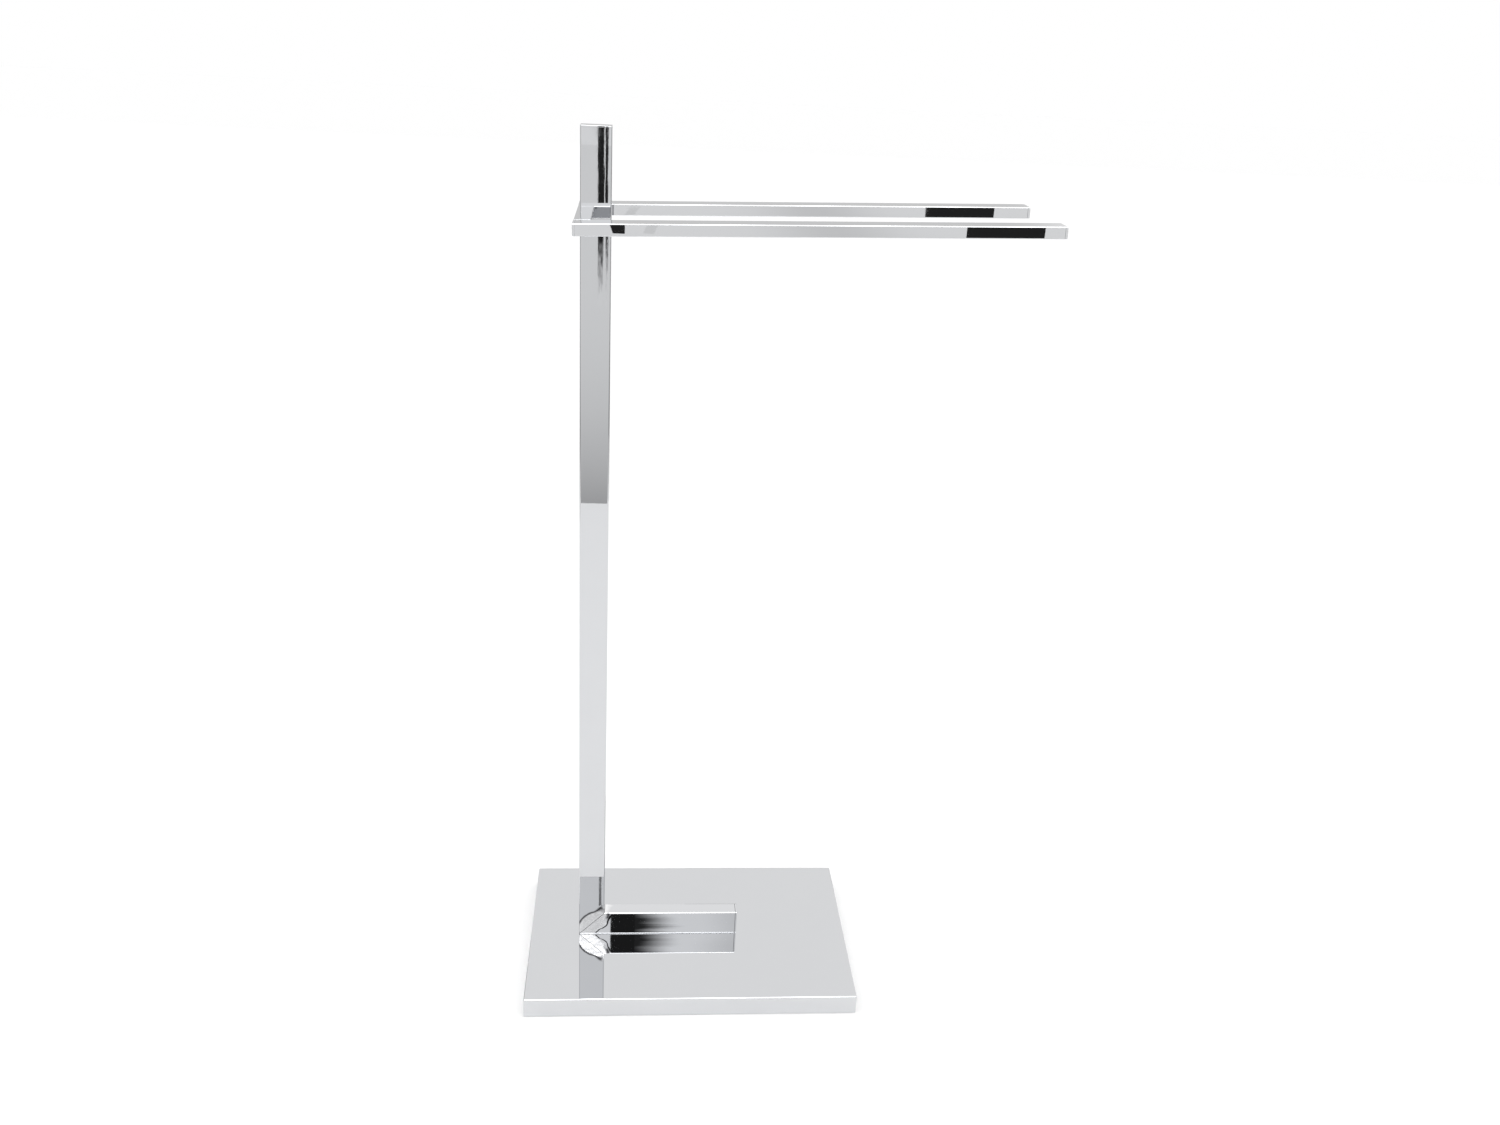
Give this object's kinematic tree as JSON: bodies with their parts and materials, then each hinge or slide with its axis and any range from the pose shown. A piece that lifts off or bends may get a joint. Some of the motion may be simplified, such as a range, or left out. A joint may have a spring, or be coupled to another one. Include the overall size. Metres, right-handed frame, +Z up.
{
  "type": "valet stand",
  "caption": "Free-standing polished chrome towel valet: mitred rectangular post on a weighted base plate, carrying an open U-shaped rail frame.",
  "frame": {"origin": "centre of the base's underside, on the floor", "axes": "+X along the base's length towards the free ends of the rails, +Y from the front rail to the rear rail, +Z up along the post"},
  "size_m": [0.4593, 0.221, 0.85],
  "materials": {
    "polished_chrome": "mirror-polished chrome plate on steel",
    "ballast_steel": "flame-cut steel plate, black primer",
    "pan_steel": "black powder-coated sheet steel",
    "plated_fasteners": "zinc-plated steel",
    "stainless_screw": "plain stainless steel",
    "pad_rubber": "fine-textured matt rubber"
  },
  "bodies": {
    "root": {"base_cover": "polished_chrome", "foot_tube": "polished_chrome", "post_tube": "polished_chrome", "foot_cap": "polished_chrome", "post_cap": "polished_chrome", "front_rail": "polished_chrome", "rear_rail": "polished_chrome", "front_rail_left_cap": "polished_chrome", "front_rail_right_cap": "polished_chrome", "rear_rail_left_cap": "polished_chrome", "rear_rail_right_cap": "polished_chrome", "rail_crossbar": "polished_chrome", "base_weight": "ballast_steel", "bottom_pan": "pan_steel", "pan_spacers": "plated_fasteners", "pan_screws": "plated_fasteners", "foot_screws": "plated_fasteners", "foot_washers": "plated_fasteners", "foot_nut_bar": "plated_fasteners", "rail_nut_block": "plated_fasteners", "rail_screw": "stainless_screw", "anti_slip_pad": "pad_rubber"}
  },
  "joints": []
}
